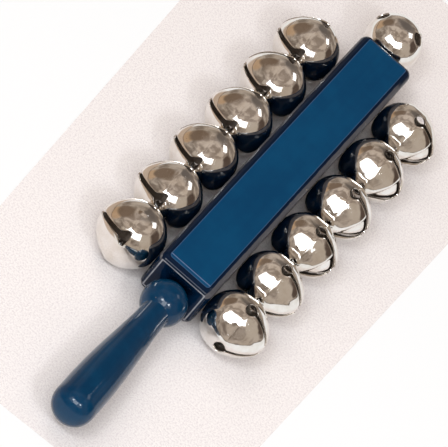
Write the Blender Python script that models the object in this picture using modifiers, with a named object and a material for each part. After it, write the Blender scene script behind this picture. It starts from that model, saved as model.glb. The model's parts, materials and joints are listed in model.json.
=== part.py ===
"""Jingle stick: a painted wooden bar on a turned handle, with slotted round bells nailed
along both sides and one on the tip, and a loose steel pellet inside every bell.

Metres, +Z up. The stick lies as it does on a table, on its side bells. The handle points
to -Y and the tip to +Y. The origin is under the middle of the stick, on the table.
"""

import math

import bmesh
import bpy
from mathutils import Vector

# Bar
BAR_WIDTH = 0.0230
BAR_HEIGHT = 0.0192
BAR_EDGE_RADIUS = 0.0029
FIRST_BELL_SETBACK = 0.0069  # handle end of the bar to the middle of the first bell
LAST_BELL_SETBACK = 0.0189  # middle of the last side bell to the tip end of the bar

# Bells
BELLS_PER_SIDE = 6
SIDE_BELL_DIAMETER = 0.0250
TIP_BELL_DIAMETER = 0.0220
BELL_SPACING_GAP = 0.0008  # air between neighbours in a row
BELL_WALL = 0.0006
SLOT_WIDTH = 0.0019
SLOT_HOLE_WIDTH = 0.0064  # across the keyhole, where the slot starts
SLOT_HOLE_RISE = 0.0030  # from the bell's equator up to where the keyhole becomes the slot
SLOT_HOLE_SHOULDER = 0.0008  # from the equator down to the keyhole's widest place
SLOT_HOLE_CORNER = 0.00075  # cut off each lower corner of the keyhole
PETAL_TIP_HALF_ANGLE = math.radians(13)
PETAL_FLATNESS = 0.10  # 0 is a ball, 1 is a petal that isn't curved across at all
TIP_BELL_ASIDE = -0.0020  # the tip bell's nail, off the middle of the bar's end
TIP_BELL_ABOVE = 0.0036
LEFT_TURNS = [math.radians(turn) for turn in (33, 30, 26, 25, 22, 25)]
RIGHT_TURNS = [math.radians(turn) for turn in (6, 5, 6, 5, 1, 8)]
TIP_TURN = math.radians(35)

# Nails, one through the foot of each bell
NAIL_SHANK_DIAMETER = 0.0018
NAIL_HEAD_DIAMETER = 0.0040
NAIL_HEAD_HEIGHT = 0.0011
NAIL_POINT_LENGTH = 0.0020
NAIL_HEAD_TO_PAD_EDGE = 0.0010  # flat of the bell's foot that shows round the head
WOOD_BESIDE_SOCKET = 0.0006  # left between a nail's hole and the handle's socket

# Pellets
PELLET_DIAMETER = 0.0060
PELLET_CLEARANCE = 0.0006  # to the round of the bell, at both ends of its travel

# Handle
HANDLE_LENGTH = 0.0770  # outside the bar
COLLAR_DIAMETER = 0.0166
COVE_RADIUS = 0.0020
NECK_DIAMETER = 0.0103
NECK_LENGTH = 0.0035  # the even stretch between the cove and the swell of the grip
GRIP_DIAMETER = 0.0156
GRIP_EVEN_LENGTH = 0.0127  # at full diameter, before the round end
TENON_DIAMETER = 0.0070
TENON_LENGTH = 0.0160
TENON_CHAMFER = 0.0006
HANDLE_ASIDE = 0.0005  # its hole was drilled a little off the middle of the bar
HANDLE_LEAN = math.radians(0.7)  # and a little askew

SEAT_GAP = 0.0003  # between pieces that touch

# Facets
PETAL_COLUMNS = 3
PETAL_ROWS = 4
CUP_ROWS = 4
BAR_EDGE_SEGMENTS = 4
HANDLE_SIDES = 20
COLLAR_SEGMENTS = 7
COVE_SEGMENTS = 3
SWELL_STEPS = 6
END_SEGMENTS = 6
NAIL_SIDES = 8
DOME_SEGMENTS = 3
MERGE_DISTANCE = 0.00001

QUARTER = math.radians(90)
PITCH = SIDE_BELL_DIAMETER + BELL_SPACING_GAP
BAR_LENGTH = FIRST_BELL_SETBACK + (BELLS_PER_SIDE - 1) * PITCH + LAST_BELL_SETBACK
PAD_RADIUS = NAIL_HEAD_DIAMETER / 2 + NAIL_HEAD_TO_PAD_EDGE
SOCKET_RADIUS = TENON_DIAMETER / 2 + SEAT_GAP
NAIL_HOLE_RADIUS = NAIL_SHANK_DIAMETER / 2 + SEAT_GAP
NAIL_HOLE_DEPTH = BAR_WIDTH / 2 - SOCKET_RADIUS - abs(HANDLE_ASIDE) - WOOD_BESIDE_SOCKET
NAIL_LENGTH = SEAT_GAP + BELL_WALL + NAIL_HOLE_DEPTH


def clear_scene():
    for obj in list(bpy.data.objects):
        bpy.data.objects.remove(obj, do_unlink=True)


def new_collection(name):
    collection = bpy.data.collections.new(name)
    bpy.context.scene.collection.children.link(collection)
    return collection


def new_material(name, colour, roughness, metallic):
    material = bpy.data.materials.new(name)
    material.use_nodes = True
    shader = material.node_tree.nodes["Principled BSDF"]
    shader.inputs["Base Color"].default_value = (*colour, 1)
    shader.inputs["Roughness"].default_value = roughness
    shader.inputs["Metallic"].default_value = metallic
    material.diffuse_color = (*colour, 1)
    return material


def mesh_from(bm, name):
    mesh = bpy.data.meshes.new(name)
    bm.to_mesh(mesh)
    bm.free()
    return mesh


def smooth_mesh_from(bm, name):
    """Shaded smooth, apart from the edges of an open sheet, which are crisp when it is thick."""
    for face in bm.faces:
        face.smooth = True
    for edge in bm.edges:
        edge.smooth = not edge.is_boundary
    return mesh_from(bm, name)


def add_object(name, mesh, collection, parent, material=None):
    """Objects that share a mesh share its material too."""
    obj = bpy.data.objects.new(name, mesh)
    if material and not mesh.materials:
        mesh.materials.append(material)
    obj.parent = parent
    collection.objects.link(obj)
    return obj


def add_empty(name, collection, parent, location=(0, 0, 0), rotation=(0, 0, 0)):
    empty = add_object(name, None, collection, parent)
    empty.empty_display_size = SIDE_BELL_DIAMETER / 4
    empty.location = location
    empty.rotation_euler = rotation
    return empty


def pad_depth(radius):
    """From a bell's centre to the flat of its foot."""
    return math.sqrt(radius**2 - PAD_RADIUS**2)


def petal_edge_angle(ring_radius, gap, flatness):
    """Angle from the middle of a petal to its edge, which stands gap off the slot's middle."""
    spread = 1 - flatness
    reach = (math.sqrt(2) * gap / ring_radius - flatness) / math.hypot(spread, 1)
    return math.acos(reach) - math.atan2(1, spread)


def bell_rows(radius):
    """The rings of a bell from its petal tips to its foot: how high each ring is, its radius,
    the angle to its petal edges, and how flat the petals are there."""
    half_slot = SLOT_WIDTH / 2
    tip_radius = half_slot / math.sin(QUARTER / 2 - PETAL_TIP_HALF_ANGLE)
    tip_angle = math.asin(tip_radius / radius)
    slot_angle = math.acos(SLOT_HOLE_RISE / radius)
    foot_depth = SLOT_HOLE_SHOULDER + SLOT_HOLE_CORNER
    foot_angle = math.acos(-foot_depth / radius)
    pad_angle = math.pi - math.asin(PAD_RADIUS / radius)

    rows = []
    for step in range(PETAL_ROWS + 1):
        angle = tip_angle + (slot_angle - tip_angle) * step / PETAL_ROWS
        ring = radius * math.sin(angle)
        edge = petal_edge_angle(ring, half_slot, PETAL_FLATNESS)
        rows.append((radius * math.cos(angle), ring, edge, PETAL_FLATNESS))

    shoulder_ring = math.sqrt(radius**2 - SLOT_HOLE_SHOULDER**2)
    shoulder_edge = petal_edge_angle(shoulder_ring, SLOT_HOLE_WIDTH / 2, 0)
    rows.append((-SLOT_HOLE_SHOULDER, shoulder_ring, shoulder_edge, 0))
    foot_ring = radius * math.sin(foot_angle)
    foot_edge = petal_edge_angle(foot_ring, SLOT_HOLE_WIDTH / 2 - SLOT_HOLE_CORNER, 0)
    rows.append((-foot_depth, foot_ring, foot_edge, 0))

    even_edge = QUARTER / 2 * PETAL_COLUMNS / (PETAL_COLUMNS + 2)
    for step in range(1, CUP_ROWS + 1):
        share = step / CUP_ROWS
        angle = foot_angle + (pad_angle - foot_angle) * share
        edge = foot_edge + (even_edge - foot_edge) * share
        rows.append((radius * math.cos(angle), radius * math.sin(angle), edge, 0))
    rows.append((-pad_depth(radius), NAIL_HOLE_RADIUS, even_edge, 0))
    return rows


def bell_mesh(name, diameter):
    """The skin of a bell that opens to +Z: one sheet, cut into four petals and wrapped to a
    ball. Between the petals, the columns of the sheet on either side of a slot are cut away."""
    rows = bell_rows(diameter / 2)
    last_petal_row = len(rows) - CUP_ROWS - 2
    columns_each = PETAL_COLUMNS + 2
    bm = bmesh.new()
    bmesh.ops.create_grid(bm, x_segments=4 * columns_each, y_segments=len(rows) - 1, size=0.5)

    cut = []
    for face in bm.faces:
        middle = face.calc_center_median()
        column = int((middle.x + 0.5) * 4 * columns_each) % columns_each
        row = int((middle.y + 0.5) * (len(rows) - 1))
        if row < last_petal_row and column in (0, columns_each - 1):
            cut.append(face)
    bmesh.ops.delete(bm, geom=cut, context="FACES")

    for vertex in bm.verts:
        column = round((vertex.co.x + 0.5) * 4 * columns_each)
        height, ring, edge, flatness = rows[round((vertex.co.y + 0.5) * (len(rows) - 1))]
        quarter, place = divmod(column, columns_each)
        if place == 0:
            across = -QUARTER / 2
        else:
            across = edge * (2 * (place - 1) / PETAL_COLUMNS - 1)
        outward = ring * (math.cos(across) * (1 - flatness) + flatness)
        sideways = ring * math.sin(across)
        petal_middle = QUARTER * (quarter + 0.5)
        vertex.co.x = outward * math.cos(petal_middle) - sideways * math.sin(petal_middle)
        vertex.co.y = outward * math.sin(petal_middle) + sideways * math.cos(petal_middle)
        vertex.co.z = height

    bmesh.ops.remove_doubles(bm, verts=bm.verts, dist=MERGE_DISTANCE)
    bmesh.ops.recalc_face_normals(bm, faces=bm.faces)
    return smooth_mesh_from(bm, name)


def add_bell(name, mesh, collection, station, turn, material):
    bell = add_object(name, mesh, collection, station, material)
    bell.rotation_euler.z = turn
    wall = bell.modifiers.new("Sheet metal", "SOLIDIFY")
    wall.thickness = BELL_WALL
    wall.offset = -1
    wall.use_even_offset = True
    return bell


def arc(centre, radius, start, end, segments):
    """Points round a centre in the (radius, height) plane. The angle is from the +height
    axis, towards +radius."""
    points = []
    for step in range(segments + 1):
        angle = start + (end - start) * step / segments
        points.append((centre[0] + radius * math.sin(angle), centre[1] + radius * math.cos(angle)))
    return points


def profile_mesh(name, points):
    bm = bmesh.new()
    vertices = [bm.verts.new((radius, 0, height)) for radius, height in points]
    for upper, lower in zip(vertices, vertices[1:]):
        bm.edges.new((upper, lower))
    return mesh_from(bm, name)


def add_turned(name, mesh, collection, parent, material, sides):
    """A profile in the XZ plane, from its top down, turned about Z."""
    obj = add_object(name, mesh, collection, parent, material)
    turn = obj.modifiers.new("Turn", "SCREW")
    turn.steps = sides
    turn.render_steps = sides
    turn.use_smooth_shade = True
    turn.use_merge_vertices = True
    turn.merge_threshold = MERGE_DISTANCE
    return obj


def nail_profile():
    """A round-headed nail with the underside of its head at 0 and its point downwards."""
    head = NAIL_HEAD_DIAMETER / 2
    shank = NAIL_SHANK_DIAMETER / 2
    dome = (head**2 + NAIL_HEAD_HEIGHT**2) / (2 * NAIL_HEAD_HEIGHT)
    rim = math.asin(head / dome)
    points = arc((0, NAIL_HEAD_HEIGHT - dome), dome, 0, rim, DOME_SEGMENTS)
    points[0] = (0, NAIL_HEAD_HEIGHT)
    points += [(shank, 0), (shank, NAIL_POINT_LENGTH - NAIL_LENGTH), (0, -NAIL_LENGTH)]
    return points


def handle_profile():
    """Tenon, ball collar, cove, neck, swelling grip and round end, from the top down. The end
    of the bar is at 0."""
    tenon = TENON_DIAMETER / 2
    collar = COLLAR_DIAMETER / 2
    neck = NECK_DIAMETER / 2
    grip = GRIP_DIAMETER / 2
    collar_height = -SEAT_GAP - math.sqrt(collar**2 - tenon**2)
    cove_drop = math.sqrt((collar + COVE_RADIUS) ** 2 - (neck + COVE_RADIUS) ** 2)
    cove_centre = (neck + COVE_RADIUS, collar_height - cove_drop)
    meeting = math.atan2(cove_centre[0], -cove_drop)

    points = [(0, TENON_LENGTH), (tenon - TENON_CHAMFER, TENON_LENGTH)]
    points.append((tenon, TENON_LENGTH - TENON_CHAMFER))
    top = math.asin(tenon / collar)
    points += arc((0, collar_height), collar, top, meeting, COLLAR_SEGMENTS)
    points += arc(cove_centre, COVE_RADIUS, meeting - math.pi, -QUARTER, COVE_SEGMENTS)[1:]

    swell_start = cove_centre[1] - NECK_LENGTH
    swell_end = grip + GRIP_EVEN_LENGTH - HANDLE_LENGTH
    for step in range(SWELL_STEPS + 1):
        share = step / SWELL_STEPS
        swell = share * share * (3 - 2 * share)
        height = swell_start + (swell_end - swell_start) * share
        points.append((neck + (grip - neck) * swell, height))
    points += arc((0, grip - HANDLE_LENGTH), grip, QUARTER, 2 * QUARTER, END_SEGMENTS)
    points[-1] = (0, -HANDLE_LENGTH)
    return points


def drill_mesh(name, radius, depth, sides):
    """A rod from SEAT_GAP above the wood, whose face is at 0, down to depth below it."""
    bm = bmesh.new()
    bmesh.ops.create_cone(
        bm, cap_ends=True, segments=sides, radius1=radius, radius2=radius, depth=depth + SEAT_GAP
    )
    bmesh.ops.translate(bm, verts=bm.verts, vec=(0, 0, (SEAT_GAP - depth) / 2))
    return mesh_from(bm, name)


def add_cutter(name, mesh, collection, parent, location=(0, 0, 0), rotation=(0, 0, 0)):
    cutter = add_object(name, mesh, collection, parent)
    cutter.location = location
    cutter.rotation_euler = rotation
    cutter.hide_render = True
    cutter.display_type = "WIRE"
    return cutter


def bar_mesh(name):
    bm = bmesh.new()
    bmesh.ops.create_cube(bm, size=1)
    bmesh.ops.scale(bm, verts=bm.verts, vec=(BAR_WIDTH, BAR_LENGTH, BAR_HEIGHT))
    return mesh_from(bm, name)


def add_bar(collection, cutters, parent, material):
    mesh = bar_mesh("Bar")
    mesh.shade_smooth()
    bar = add_object("bar", mesh, collection, parent, material)
    bar.location.y = BAR_LENGTH / 2
    rounding = bar.modifiers.new("Rounded edges", "BEVEL")
    rounding.width = BAR_EDGE_RADIUS
    rounding.segments = BAR_EDGE_SEGMENTS
    rounding.harden_normals = True
    drilling = bar.modifiers.new("Nail holes and handle socket", "BOOLEAN")
    drilling.operand_type = "COLLECTION"
    drilling.collection = cutters
    return bar


def pellet_mesh(name):
    bm = bmesh.new()
    bmesh.ops.create_icosphere(bm, subdivisions=2, radius=PELLET_DIAMETER / 2)
    return smooth_mesh_from(bm, name)


def pellet_drop(bell_diameter):
    """From a bell's centre down to its pellet's, where it lies on the wall."""
    return bell_diameter / 2 - BELL_WALL - PELLET_CLEARANCE - PELLET_DIAMETER / 2


def bell_stations():
    """Where each bell sits: its label, diameter, the direction that it faces, its place, and
    how far it is turned. A place is counted from the middle of the bar's handle end."""
    radius = SIDE_BELL_DIAMETER / 2
    aside = BAR_WIDTH / 2 + SEAT_GAP + pad_depth(radius)
    stations = []
    for index in range(BELLS_PER_SIDE):
        along = FIRST_BELL_SETBACK + index * PITCH
        turn = LEFT_TURNS[index % len(LEFT_TURNS)]
        facing = Vector((-1, 0, 0))
        place = Vector((-aside, along, 0))
        stations.append((f"left_{index + 1}", SIDE_BELL_DIAMETER, facing, place, turn))
        turn = RIGHT_TURNS[index % len(RIGHT_TURNS)]
        facing = Vector((1, 0, 0))
        place = Vector((aside, along, 0))
        stations.append((f"right_{index + 1}", SIDE_BELL_DIAMETER, facing, place, turn))
    beyond = BAR_LENGTH + SEAT_GAP + pad_depth(TIP_BELL_DIAMETER / 2)
    place = Vector((TIP_BELL_ASIDE, beyond, TIP_BELL_ABOVE))
    stations.append(("tip", TIP_BELL_DIAMETER, Vector((0, 1, 0)), place, TIP_TURN))
    return stations


def facing_rotation(facing):
    """Turns +Z to the facing direction, with the bell's own +X or +Y kept upright."""
    if facing.y:
        return (-QUARTER, 0, 0)
    return (0, math.copysign(QUARTER, facing.x), 0)


def settle_on_table(stick, pieces):
    """Moves the stick so that its lowest bell touches the table and the origin is under the
    middle of its length."""
    bpy.context.view_layer.update()
    graph = bpy.context.evaluated_depsgraph_get()
    points = []
    for piece in pieces:
        solid = piece.evaluated_get(graph)
        mesh = solid.to_mesh()
        points += [solid.matrix_world @ vertex.co for vertex in mesh.vertices]
        solid.to_mesh_clear()
    lengths = [point.y for point in points]
    stick.location.y = -(min(lengths) + max(lengths)) / 2
    stick.location.z = -min(point.z for point in points)


def build():
    clear_scene()
    parts = new_collection("Jingle stick")
    cutters = new_collection("Cutters")
    bar_paint = new_material("Bar paint", (0.004, 0.063, 0.162), 0.18, 0)
    handle_paint = new_material("Handle paint", (0.005, 0.032, 0.102), 0.16, 0)
    nickel = new_material("Nickel plate", (0.72, 0.70, 0.67), 0.08, 1)
    nail_steel = new_material("Nail steel", (0.50, 0.50, 0.50), 0.35, 1)
    pellet_steel = new_material("Pellet steel", (0.42, 0.42, 0.43), 0.25, 1)

    stick = add_empty("stick", parts, None)
    bar = add_bar(parts, cutters, stick, bar_paint)

    seat = add_empty("handle_seat", parts, stick, (HANDLE_ASIDE, 0, 0), (-QUARTER, 0, HANDLE_LEAN))
    handle_points = profile_mesh("Handle profile", handle_profile())
    handle = add_turned("handle", handle_points, parts, seat, handle_paint, HANDLE_SIDES)
    socket_rod = drill_mesh("Socket drill", SOCKET_RADIUS, TENON_LENGTH + SEAT_GAP, HANDLE_SIDES)
    # The seat's +Z points into the wood, so the drill, which cuts downwards, is turned over.
    add_cutter("socket_drill", socket_rod, cutters, seat, rotation=(2 * QUARTER, 0, 0))

    bell_meshes = {
        SIDE_BELL_DIAMETER: bell_mesh("Side bell", SIDE_BELL_DIAMETER),
        TIP_BELL_DIAMETER: bell_mesh("Tip bell", TIP_BELL_DIAMETER),
    }
    nail_points = profile_mesh("Nail profile", nail_profile())
    nail_rod = drill_mesh("Nail drill", NAIL_HOLE_RADIUS, NAIL_HOLE_DEPTH, NAIL_SIDES)
    pellet_ball = pellet_mesh("Pellet")

    pieces = [bar, handle]
    for label, diameter, facing, place, turn in bell_stations():
        foot = pad_depth(diameter / 2)
        station = add_empty(f"station_{label}", parts, stick, place, facing_rotation(facing))
        mesh = bell_meshes[diameter]
        pieces.append(add_bell(f"bell_{label}", mesh, parts, station, turn, nickel))
        nail = add_turned(f"nail_{label}", nail_points, parts, station, nail_steel, NAIL_SIDES)
        nail.location.z = BELL_WALL + SEAT_GAP - foot
        add_cutter(f"nail_drill_{label}", nail_rod, cutters, station, (0, 0, -foot - SEAT_GAP))
        pellet = add_object(f"pellet_{label}", pellet_ball, parts, stick, pellet_steel)
        pellet.location = place - Vector((0, 0, pellet_drop(diameter)))
    settle_on_table(stick, pieces)


build()
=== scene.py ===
# %% [markdown]
# # A jingle stick on a sheet of paper
#
# The stick is a painted wooden bar on a turned handle. Thirteen slotted bells of plated sheet
# steel are nailed to it, six along each side and one on the tip, and a loose steel ball rattles
# in each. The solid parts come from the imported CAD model. Here each visible one is built again
# with the softness of the real thing, such as rounded arrises, dented petals and thick paint.

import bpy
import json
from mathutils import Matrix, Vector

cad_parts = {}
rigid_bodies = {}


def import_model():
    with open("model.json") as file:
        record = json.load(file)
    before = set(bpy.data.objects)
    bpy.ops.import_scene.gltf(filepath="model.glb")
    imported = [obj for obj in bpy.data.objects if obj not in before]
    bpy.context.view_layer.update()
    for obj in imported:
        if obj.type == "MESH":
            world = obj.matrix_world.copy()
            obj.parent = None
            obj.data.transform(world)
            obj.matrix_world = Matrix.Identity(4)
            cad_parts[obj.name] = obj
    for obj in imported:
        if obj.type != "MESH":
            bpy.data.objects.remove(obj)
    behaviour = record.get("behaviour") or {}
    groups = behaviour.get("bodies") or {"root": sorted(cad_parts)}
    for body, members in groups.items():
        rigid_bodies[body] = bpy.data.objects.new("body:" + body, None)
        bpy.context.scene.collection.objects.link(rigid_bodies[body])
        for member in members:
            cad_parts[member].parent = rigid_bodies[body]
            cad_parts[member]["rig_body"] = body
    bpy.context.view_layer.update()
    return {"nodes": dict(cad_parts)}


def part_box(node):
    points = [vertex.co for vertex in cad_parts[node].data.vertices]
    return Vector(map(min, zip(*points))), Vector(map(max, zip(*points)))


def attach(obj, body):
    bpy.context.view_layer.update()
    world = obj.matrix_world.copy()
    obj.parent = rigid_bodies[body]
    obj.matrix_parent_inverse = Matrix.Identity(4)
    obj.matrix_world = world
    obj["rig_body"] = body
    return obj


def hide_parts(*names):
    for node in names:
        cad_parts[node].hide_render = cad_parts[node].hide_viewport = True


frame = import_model()

# %% [markdown]
# The other modules come with Blender. Everything is in metres: the handle points to -Y, the tip
# to +Y, and the stick lies on its side bells on the plane z = 0.

# %% Modules
import json
import math
import random

import bmesh
import bpy
from mathutils import Euler, Matrix, Vector, noise

MM = 0.001
QUARTER = math.radians(90)

# %% [markdown]
# ## Writing a material as sums
#
# A procedural material is a graph of nodes, and most of its nodes are plain arithmetic. `Socket`
# wraps one output of a node, so that `1 - mask` or `grain * 0.3` adds the Math node for it and
# gives its output back. Colours don't go through it, because a Math node turns a colour grey.

# %% The socket class
class Socket:
    """One output of a node. Arithmetic on it adds Math nodes."""

    def __init__(self, graph, output):
        self.graph = graph
        self.output = output

    def maths(self, operation, *terms):
        sockets = dict(enumerate(terms))
        return self.graph.add("ShaderNodeMath", {"operation": operation}, sockets)

    def __add__(self, other):
        return self.maths("ADD", self, other)

    def __radd__(self, other):
        return self.maths("ADD", other, self)

    def __sub__(self, other):
        return self.maths("SUBTRACT", self, other)

    def __rsub__(self, other):
        return self.maths("SUBTRACT", other, self)

    def __mul__(self, other):
        return self.maths("MULTIPLY", self, other)

    def __rmul__(self, other):
        return self.maths("MULTIPLY", other, self)

    def __truediv__(self, other):
        return self.maths("DIVIDE", self, other)

    def __gt__(self, other):
        return self.maths("GREATER_THAN", self, other)

    def size(self):
        return self.maths("ABSOLUTE", self)

    def least(self, other):
        return self.maths("MINIMUM", self, other)

    def most(self, other):
        return self.maths("MAXIMUM", self, other)

    def rise(self, low, high):
        """0 up to low, 1 from high on, and a smooth ramp between them."""
        settings = {"interpolation_type": "SMOOTHSTEP"}
        return self.graph.add("ShaderNodeMapRange", settings, {0: self, 1: low, 2: high})


# %% [markdown]
# `Graph` is a node tree that is being made. Every node comes from its one method `add`, which
# takes the node's type, its settings and the values or links of its sockets. The other methods
# are the few nodes that every finish here uses: a mix of two colours, a stretched noise, a dent.

# %% The graph class
class Graph:
    """A node tree that is being made."""

    def __init__(self, tree):
        self.tree = tree

    def add(self, kind, settings=None, sockets=None, output=0):
        node = self.tree.nodes.new(kind)
        for name, value in (settings or {}).items():
            setattr(node, name, value)
        for name, value in (sockets or {}).items():
            self.feed(node.inputs[name], value)
        return Socket(self, node.outputs[output])

    def feed(self, target, value):
        if isinstance(value, Socket):
            self.tree.links.new(value.output, target)
        else:
            target.default_value = value

    def place(self):
        """The point that is being shaded, in metres."""
        return self.add("ShaderNodeTexCoord", output="Object")

    def part(self, vector, axis):
        return self.add("ShaderNodeSeparateXYZ", None, {0: vector}, axis)

    def stretch(self, vector, factors):
        return self.add("ShaderNodeVectorMath", {"operation": "MULTIPLY"}, {0: vector, 1: factors})

    def noise(self, vector, scale, detail=2.0, roughness=0.5):
        sockets = {"Vector": vector, "Scale": scale, "Detail": detail, "Roughness": roughness}
        return self.add("ShaderNodeTexNoise", None, sockets)

    def spots(self, vector, scale, radius):
        """Round spots, one in each cell of about 1 / scale, as 1 inside a spot and 0 outside."""
        distance = self.add("ShaderNodeTexVoronoi", None, {"Vector": vector, "Scale": scale})
        return 1 - distance.rise(radius * 0.6, radius)

    def mix(self, factor, first, second):
        """From the first colour at 0 to the second at 1."""
        settings = {"data_type": "RGBA", "clamp_factor": True}
        return self.add("ShaderNodeMix", settings, {0: factor, 6: first, 7: second}, 2)

    def bump(self, height, depth, under=None):
        """Height from 0 to 1, over a real depth in metres."""
        sockets = {"Height": height, "Distance": depth, "Strength": 1.0}
        if under:
            sockets["Normal"] = under
        return self.add("ShaderNodeBump", None, sockets)


def colour(red, green, blue):
    return (red, green, blue, 1.0)


# %% [markdown]
# A finish is a material with the Principled shader. What stays the same over the whole surface is
# set straight on the shader, and what changes is linked into it.

# %% Starting and ending a finish
def new_finish(name, metallic=0.0):
    material = bpy.data.materials.new(name)
    material.use_nodes = True
    graph = Graph(material.node_tree)
    shader = material.node_tree.nodes["Principled BSDF"]
    shader.inputs["Metallic"].default_value = metallic
    return material, graph, shader


def end_finish(graph, shader, base, roughness, normal):
    graph.feed(shader.inputs["Base Color"], base)
    graph.feed(shader.inputs["Roughness"], roughness)
    graph.feed(shader.inputs["Normal"], normal)


# %% [markdown]
# ## The sizes that the frame gives
#
# The bar's box gives its faces. Each nail stands on the axis of its bell, and each pellet hangs
# straight under the middle of its bell, so the two together give the middle of every bell.

# %% Bar, nails and bells in the frame
bar_low, bar_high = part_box("bar")
bar_size = bar_high - bar_low
bar_middle = (bar_low + bar_high) / 2
print("bar, mm:", [round(1000 * side, 2) for side in bar_size])

LABELS = [name[len("bell_"):] for name in sorted(frame["nodes"]) if name.startswith("bell_")]


def nail_axis(label):
    """The tip bell's nail points along Y and all others along X."""
    return 1 if label == "tip" else 0


def bell_middle(label):
    nail_low, nail_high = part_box(f"nail_{label}")
    pellet_low, pellet_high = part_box(f"pellet_{label}")
    middle = (nail_low + nail_high) / 2
    axis = nail_axis(label)
    middle[axis] = (pellet_low[axis] + pellet_high[axis]) / 2
    return middle


def bell_radius(label):
    middle = bell_middle(label)
    return max((v.co - middle).length for v in frame["nodes"][f"bell_{label}"].data.vertices)


for label in LABELS:
    place = [round(1000 * value, 2) for value in bell_middle(label)]
    print("bell", label, "middle, mm:", place, "radius:", round(1000 * bell_radius(label), 2))

# %% [markdown]
# Each piece that is built here stands for its CAD node, which is then hidden but still collides,
# and it rides on the same body, so that it moves as the CAD piece does.

# %% Putting a piece in its place
def finish_mesh(bm, name, smooth=True):
    mesh = bpy.data.meshes.new(name)
    for face in bm.faces:
        face.smooth = smooth
    bm.to_mesh(mesh)
    bm.free()
    return mesh


def add_object(name, mesh, *materials):
    piece = bpy.data.objects.new(name, mesh)
    for material in materials:
        mesh.materials.append(material)
    bpy.context.scene.collection.objects.link(piece)
    return piece


stand_ins = {}


def stand_for(piece, node):
    stand_ins[node] = piece
    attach(piece, frame["nodes"][node]["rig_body"])
    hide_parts(node)


# %% [markdown]
# ## Gloss paint on wood
#
# The bar and the handle are brushed with thick navy gloss paint. Such a skin is never quite even:
# it is a little lighter where it ran thin, long brush lines and the grain of the wood show in the
# gloss, dust sits in it as small nibs, and it is chipped to the pale wood here and there.
#
# A finish can get more coats on top. The function given as `coats` takes the first coat's colour
# and gives back the new colour, a mask of the raised coat, and a mask of what is rough: bare chips,
# and on the bar also its painted edge reflection and highlight.

# %% The paint finish
PALE_WOOD = colour(0.52, 0.42, 0.30)
DUST = colour(0.40, 0.43, 0.47)
BRUSH_DEPTH = 0.05 * MM
COAT_DEPTH = 0.14 * MM
DUST_DEPTH = 0.010 * MM


def one_coat(graph, place, thinness, base):
    chips = graph.noise(place, 520.0, 3.0, 0.7).rise(0.78, 0.82)
    return graph.mix(chips, base, PALE_WOOD), 0, chips


def paint_finish(name, deep, thin, gloss, coats=one_coat):
    material, graph, shader = new_finish(name)
    shader.inputs["Specular IOR Level"].default_value = gloss
    place = graph.place()
    brushed = graph.noise(graph.stretch(place, (420, 22, 420)), 1.0, 3.0, 0.6)
    clouds = graph.noise(place, 70.0, 3.0, 0.55)
    thinness = (clouds * 0.7 + brushed * 0.3).rise(0.32, 0.72)
    base = graph.mix(thinness, deep, thin)
    nibs = graph.spots(place, 160.0, 0.045) * (graph.noise(place, 45.0) > 0.56)
    base = graph.mix(nibs * 0.35, base, DUST)
    base, raised, rough_places = coats(graph, place, thinness, base)

    smears = graph.noise(place, 120.0, 4.0, 0.65).rise(0.45, 0.75)
    roughness = 0.06 + smears * 0.05 + raised * 0.24 + rough_places * 0.4
    waves = graph.bump(brushed, BRUSH_DEPTH)
    step = graph.bump(raised - rough_places * 0.3, COAT_DEPTH, waves)
    peel = graph.noise(place, 900.0, 1.0)
    skin = graph.bump(peel + nibs * 2, DUST_DEPTH, step)
    end_finish(graph, shader, base, roughness, skin)
    return material


# %% [markdown]
# In the photo the bar's broad face is a lighter, duller blue with a sharp border. So a second coat
# was rolled onto the broad faces alone, and it has a raised bead of paint just inside its edge,
# whose pale lavender colour is a painted highlight. At the handle's end a second, thin raised bead
# crosses the face where the bar starts to curve down, painted brighter as a painted highlight line.
#
# All of this is worked out from how far a point lies past the bar's sides, ends and broad faces,
# which is less than zero inside the bar.

# %% The second coat
COAT_CORNER = 1.2 * MM
COAT_FROM_SIDE = 4.0 * MM
COAT_FROM_END = 3.1 * MM
COAT_HANGS_DOWN = 1.2 * MM
END_REACH = 3.7 * MM
SAWN_OFF = 0.35 * MM
# The bead's pale lavender blue is a painted highlight along the second coat's edge.
HIGHLIGHT_LAVENDER = colour(0.17, 0.23, 0.40)


def past_faces(graph, place):
    """How far a point is past the bar's sides, its ends and its broad faces."""
    across = (graph.part(place, 0) - bar_middle.x).size() - bar_size.x / 2
    along = (graph.part(place, 1) - bar_middle.y).size() - bar_size.y / 2
    above = (graph.part(place, 2) - bar_middle.z).size() - bar_size.z / 2
    return across, along, above


def by_handle(graph, place):
    """1 on the handle's half of the bar and 0 on the tip's."""
    return 1 - graph.part(place, 1).rise(-1 * MM, 1 * MM)


def second_coat(graph, place, thinness, ragged, base):
    """The colour with the coat and the bead's painted highlight on it, and the coat's height."""
    across, along, above = past_faces(graph, place)
    past_side = ((across + COAT_FROM_SIDE) / COAT_CORNER).most(0)
    past_end = ((along + COAT_FROM_END) / COAT_CORNER).most(0)
    outline = past_side * past_side + past_end * past_end + ragged * 0.06
    coat = (1 - outline.rise(0.96, 1.12)) * (above + COAT_HANGS_DOWN).rise(0, 0.2 * MM)
    second = graph.mix(thinness, colour(0.0010, 0.041, 0.108), colour(0.0016, 0.055, 0.134))
    # The raised bead across the face at the handle's end, painted pale as a painted highlight line.
    end_bead_and_highlight = 1 - (along + END_REACH - SAWN_OFF).size().rise(0.08 * MM, 0.34 * MM)
    bead_and_highlight = (outline.rise(0.55, 0.80) * 0.35).most(end_bead_and_highlight * by_handle(graph, place))
    second = graph.mix(bead_and_highlight * 0.6, second, HIGHLIGHT_LAVENDER)
    return graph.mix(coat, base, second), coat * (1 + bead_and_highlight)


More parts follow.
